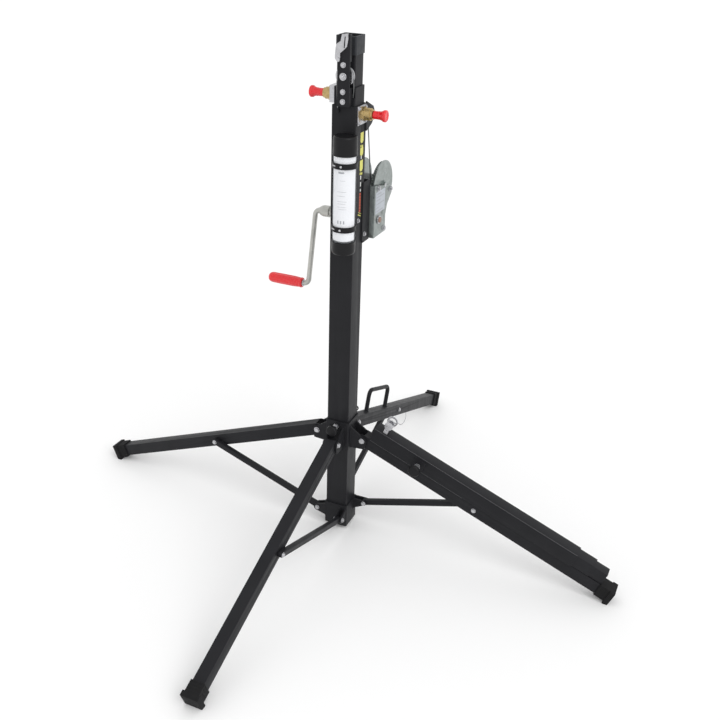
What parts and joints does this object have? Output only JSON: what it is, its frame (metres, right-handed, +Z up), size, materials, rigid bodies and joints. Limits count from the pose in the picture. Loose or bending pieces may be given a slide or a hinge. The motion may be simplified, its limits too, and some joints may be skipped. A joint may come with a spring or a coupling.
{
  "type": "crank lighting stand",
  "caption": "Wind-up lighting tower: three nested square steel tubes raised by a hand winch on a mast with hinged, strutted legs and spring-bolt locks.",
  "frame": {"origin": "mast axis at the level of the floor under the four feet", "axes": "+Z up along the mast, -Y towards the document tube (front), +X towards the red spring bolt on the outer tube, crank on -X"},
  "size_m": [2.0538, 2.0556, 1.746],
  "materials": {
    "black_powder_coat": "satin powder coat",
    "black_plastic": "moulded",
    "grey_plastic": "moulded",
    "rubber": "matt",
    "zinc_plate": "bright zinc plate",
    "galvanised_steel": "passivated zinc",
    "brass": "turned",
    "red_plastic": "glossy",
    "clear_plastic": "clear",
    "paper": "matt paper",
    "white_nylon": "moulded",
    "wire_rope": "stranded"
  },
  "bodies": {
    "mast": {"outer_tube": "black_powder_coat", "mast_end_plug": "black_plastic", "lower_collar": "black_powder_coat", "lower_collar_bolts": "zinc_plate", "outer_guide_pads": "white_nylon", "rear_gussets": "black_powder_coat", "rear_pulley_axle": "zinc_plate", "winch_channel": "black_powder_coat", "winch_frame": "galvanised_steel", "winch_spacers": "zinc_plate", "document_tube": "clear_plastic", "document_tube_caps": "black_plastic", "document_roll": "paper", "document_clips": "black_plastic", "outer_plunger_plate": "zinc_plate", "outer_plunger_bush": "brass", "mast_bolts": "zinc_plate", "winch_cable": "wire_rope"},
    "middle": {"middle_tube": "black_powder_coat", "middle_base_block": "white_nylon", "middle_guide_pads": "white_nylon", "head_bracket": "black_powder_coat", "head_bolts": "zinc_plate", "middle_plunger_plate": "zinc_plate", "middle_plunger_bush": "brass", "lift_cable": "wire_rope"},
    "inner": {"inner_tube": "black_powder_coat", "inner_base_block": "white_nylon", "inner_cap": "grey_plastic"},
    "collar": {"leg_collar": "black_powder_coat", "leg_hinge_bolts": "zinc_plate", "collar_eye": "black_plastic"},
    "leg_front": {"leg_front": "black_powder_coat", "foot_front": "rubber"},
    "leg_left": {"leg_left": "black_powder_coat", "foot_left": "rubber"},
    "leg_back": {"leg_back": "black_powder_coat", "foot_back": "rubber", "carry_handle": "black_powder_coat"},
    "leg_right": {"leg_right": "black_powder_coat", "foot_right": "rubber", "leg_sleeve": "black_powder_coat", "leg_sleeve_fittings": "zinc_plate"},
    "strut_front": {"strut_front": "black_powder_coat"},
    "strut_left": {"strut_left": "black_powder_coat"},
    "strut_back": {"strut_back": "black_powder_coat"},
    "strut_right": {"strut_right": "black_powder_coat"},
    "extension": {"leg_extension": "black_powder_coat"},
    "drum": {"cable_drum": "galvanised_steel"},
    "idler": {"idler_gear": "galvanised_steel"},
    "crank": {"input_shaft": "galvanised_steel", "crank_arm": "galvanised_steel"},
    "grip": {"crank_grip": "red_plastic"},
    "rear_pulley": {"rear_pulley": "zinc_plate"},
    "head_pulley": {"head_pulley": "zinc_plate"},
    "outer_plunger": {"outer_plunger_knob": "red_plastic"},
    "middle_plunger": {"middle_plunger_knob": "red_plastic"},
    "collar_plunger": {"collar_knob": "black_plastic"},
    "leg_plunger": {"leg_knob": "black_plastic"},
    "catch": {"catch_lever": "zinc_plate"}
  },
  "joints": [
    {"name": "middle_raise", "type": "slide", "parent": "mast", "child": "middle", "axis": [0, 0, 1], "range_m": [0, 1.385]},
    {"name": "inner_raise", "type": "slide", "parent": "middle", "child": "inner", "axis": [0, 0, 1], "range_m": [0, 1.385]},
    {"name": "drum_turn", "type": "hinge", "parent": "mast", "child": "drum", "pos_m": [0.01, 0.165, 1.258], "axis": [1, 0, 0], "continuous": true},
    {"name": "idler_turn", "type": "hinge", "parent": "mast", "child": "idler", "pos_m": [0.01, 0.1491, 1.17196], "axis": [1, 0, 0], "continuous": true},
    {"name": "crank_turn", "type": "hinge", "parent": "mast", "child": "crank", "pos_m": [0.01, 0.112, 1.157], "axis": [1, 0, 0], "continuous": true},
    {"name": "grip_turn", "type": "hinge", "parent": "crank", "child": "grip", "pos_m": [-0.25, 0.05702, 0.90902], "axis": [1, 0, 0], "continuous": true},
    {"name": "rear_pulley_turn", "type": "hinge", "parent": "mast", "child": "rear_pulley", "pos_m": [0.022, 0.06265, 1.5], "axis": [1, 0, 0], "continuous": true},
    {"name": "head_pulley_turn", "type": "hinge", "parent": "middle", "child": "head_pulley", "pos_m": [0.005, -0.044, 1.626], "axis": [0, 1, 0], "continuous": true},
    {"name": "collar_slide", "type": "slide", "parent": "mast", "child": "collar", "axis": [0, 0, 1], "range_m": [0, 0.60825]},
    {"name": "leg_front_fold", "type": "hinge", "parent": "collar", "child": "leg_front", "pos_m": [0, -0.088, 0.39], "axis": [1, 0, 0], "range_deg": [0, 66.8]},
    {"name": "strut_front_fold", "type": "hinge", "parent": "leg_front", "child": "strut_front", "pos_m": [0, -0.52031, 0.22145], "axis": [-1, 0, 0], "range_deg": [0, 133.86]},
    {"name": "leg_left_fold", "type": "hinge", "parent": "collar", "child": "leg_left", "pos_m": [-0.088, 0, 0.39], "axis": [0, -1, 0], "range_deg": [0, 66.8]},
    {"name": "strut_left_fold", "type": "hinge", "parent": "leg_left", "child": "strut_left", "pos_m": [-0.52031, 0, 0.22145], "axis": [0, 1, 0], "range_deg": [0, 133.86]},
    {"name": "leg_back_fold", "type": "hinge", "parent": "collar", "child": "leg_back", "pos_m": [0, 0.088, 0.39], "axis": [-1, 0, 0], "range_deg": [0, 66.8]},
    {"name": "strut_back_fold", "type": "hinge", "parent": "leg_back", "child": "strut_back", "pos_m": [0, 0.52031, 0.22145], "axis": [1, 0, 0], "range_deg": [0, 133.86]},
    {"name": "leg_right_fold", "type": "hinge", "parent": "collar", "child": "leg_right", "pos_m": [0.088, 0, 0.39], "axis": [0, 1, 0], "range_deg": [0, 66.8]},
    {"name": "strut_right_fold", "type": "hinge", "parent": "leg_right", "child": "strut_right", "pos_m": [0.51383, 0, 0.22398], "axis": [0, -1, 0], "range_deg": [0, 137.72]},
    {"name": "outer_plunger_pull", "type": "slide", "parent": "mast", "child": "outer_plunger", "axis": [1, 0, 0], "range_m": [0, 0.01], "stiffness_N_per_m": 600, "springref_m": -0.012},
    {"name": "middle_plunger_pull", "type": "slide", "parent": "middle", "child": "middle_plunger", "axis": [-1, 0, 0], "range_m": [0, 0.01], "stiffness_N_per_m": 600, "springref_m": -0.012},
    {"name": "collar_plunger_pull", "type": "slide", "parent": "collar", "child": "collar_plunger", "axis": [0, -1, 0], "range_m": [0, 0.01], "stiffness_N_per_m": 500, "springref_m": -0.012},
    {"name": "leg_plunger_pull", "type": "slide", "parent": "leg_right", "child": "leg_plunger", "axis": [0, -1, 0], "range_m": [0, 0.01], "stiffness_N_per_m": 500, "springref_m": -0.012},
    {"name": "extension_slide", "type": "slide", "parent": "leg_right", "child": "extension", "axis": [0.9317, 0, -0.3633], "range_m": [0, 0.4]},
    {"name": "catch_swing", "type": "hinge", "parent": "middle", "child": "catch", "pos_m": [-0.0085, -0.062, 1.673], "axis": [0, -1, 0], "range_deg": [0, 75]}
  ],
  "couplings": [
    {"joint": "inner_raise", "follows": "middle_raise", "ratio": 1},
    {"joint": "drum_turn", "follows": "middle_raise", "rad_per_m": 32.895},
    {"joint": "idler_turn", "follows": "middle_raise", "rad_per_m": -158.99},
    {"joint": "crank_turn", "follows": "middle_raise", "rad_per_m": 264.99},
    {"joint": "rear_pulley_turn", "follows": "middle_raise", "rad_per_m": -36.563},
    {"joint": "head_pulley_turn", "follows": "middle_raise", "rad_per_m": 37.037},
    {"joint": "leg_front_fold", "follows": "collar_slide", "rad_per_m": 1.9139},
    {"joint": "strut_front_fold", "follows": "collar_slide", "rad_per_m": 3.8381},
    {"joint": "leg_left_fold", "follows": "collar_slide", "rad_per_m": 1.9139},
    {"joint": "strut_left_fold", "follows": "collar_slide", "rad_per_m": 3.8381},
    {"joint": "leg_back_fold", "follows": "collar_slide", "rad_per_m": 1.9139},
    {"joint": "strut_back_fold", "follows": "collar_slide", "rad_per_m": 3.8381},
    {"joint": "leg_right_fold", "follows": "collar_slide", "rad_per_m": 1.9139},
    {"joint": "strut_right_fold", "follows": "collar_slide", "rad_per_m": 3.9489}
  ]
}
